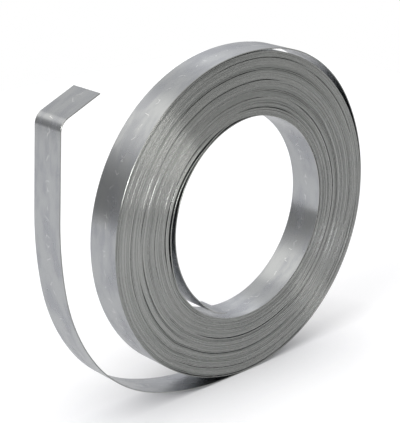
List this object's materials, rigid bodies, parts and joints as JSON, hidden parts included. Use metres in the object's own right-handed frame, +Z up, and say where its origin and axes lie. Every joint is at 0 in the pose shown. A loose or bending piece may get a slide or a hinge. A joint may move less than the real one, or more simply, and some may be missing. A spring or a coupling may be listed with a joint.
{
  "type": "steel strap coil",
  "caption": "Coil of plain flat steel strapping, wound tight round an open bore, with a loose bent tail and a loose inner end.",
  "frame": {"origin": "on the coil's axis, halfway across the strap's width", "axes": "+Y along the coil's axis, +Z up as it stands on its tread, +X level, away from the loose tail"},
  "size_m": [0.2095, 0.0206, 0.1776],
  "materials": {
    "strap": "satin brushed, plain uncoated steel"
  },
  "bodies": {
    "root": {"steel_strap": "strap"}
  },
  "joints": []
}
